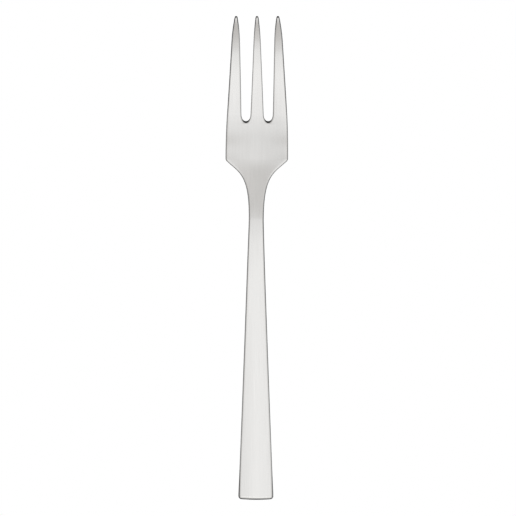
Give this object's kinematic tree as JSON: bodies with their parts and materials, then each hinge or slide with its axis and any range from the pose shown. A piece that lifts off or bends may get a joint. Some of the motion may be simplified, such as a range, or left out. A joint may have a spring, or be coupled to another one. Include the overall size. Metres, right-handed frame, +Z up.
{
  "type": "serving fork",
  "caption": "Solid stainless steel serving fork with a long tapering handle, waisted neck, angled shoulders and slender blunt-tipped tines, for lifting and holding sliced food.",
  "frame": {"origin": "middle of the bounding box at its bottom, on the table that the fork lies on", "axes": "+X across the fork to its right, +Y along it from the end of the handle to the tips, +Z up from the table, out of the hollow face of the head"},
  "size_m": [0.0294, 0.228, 0.0191],
  "materials": {
    "steel": "satin polish, faint grain along the fork"
  },
  "bodies": {
    "root": {"serving_fork": "steel"}
  },
  "joints": []
}
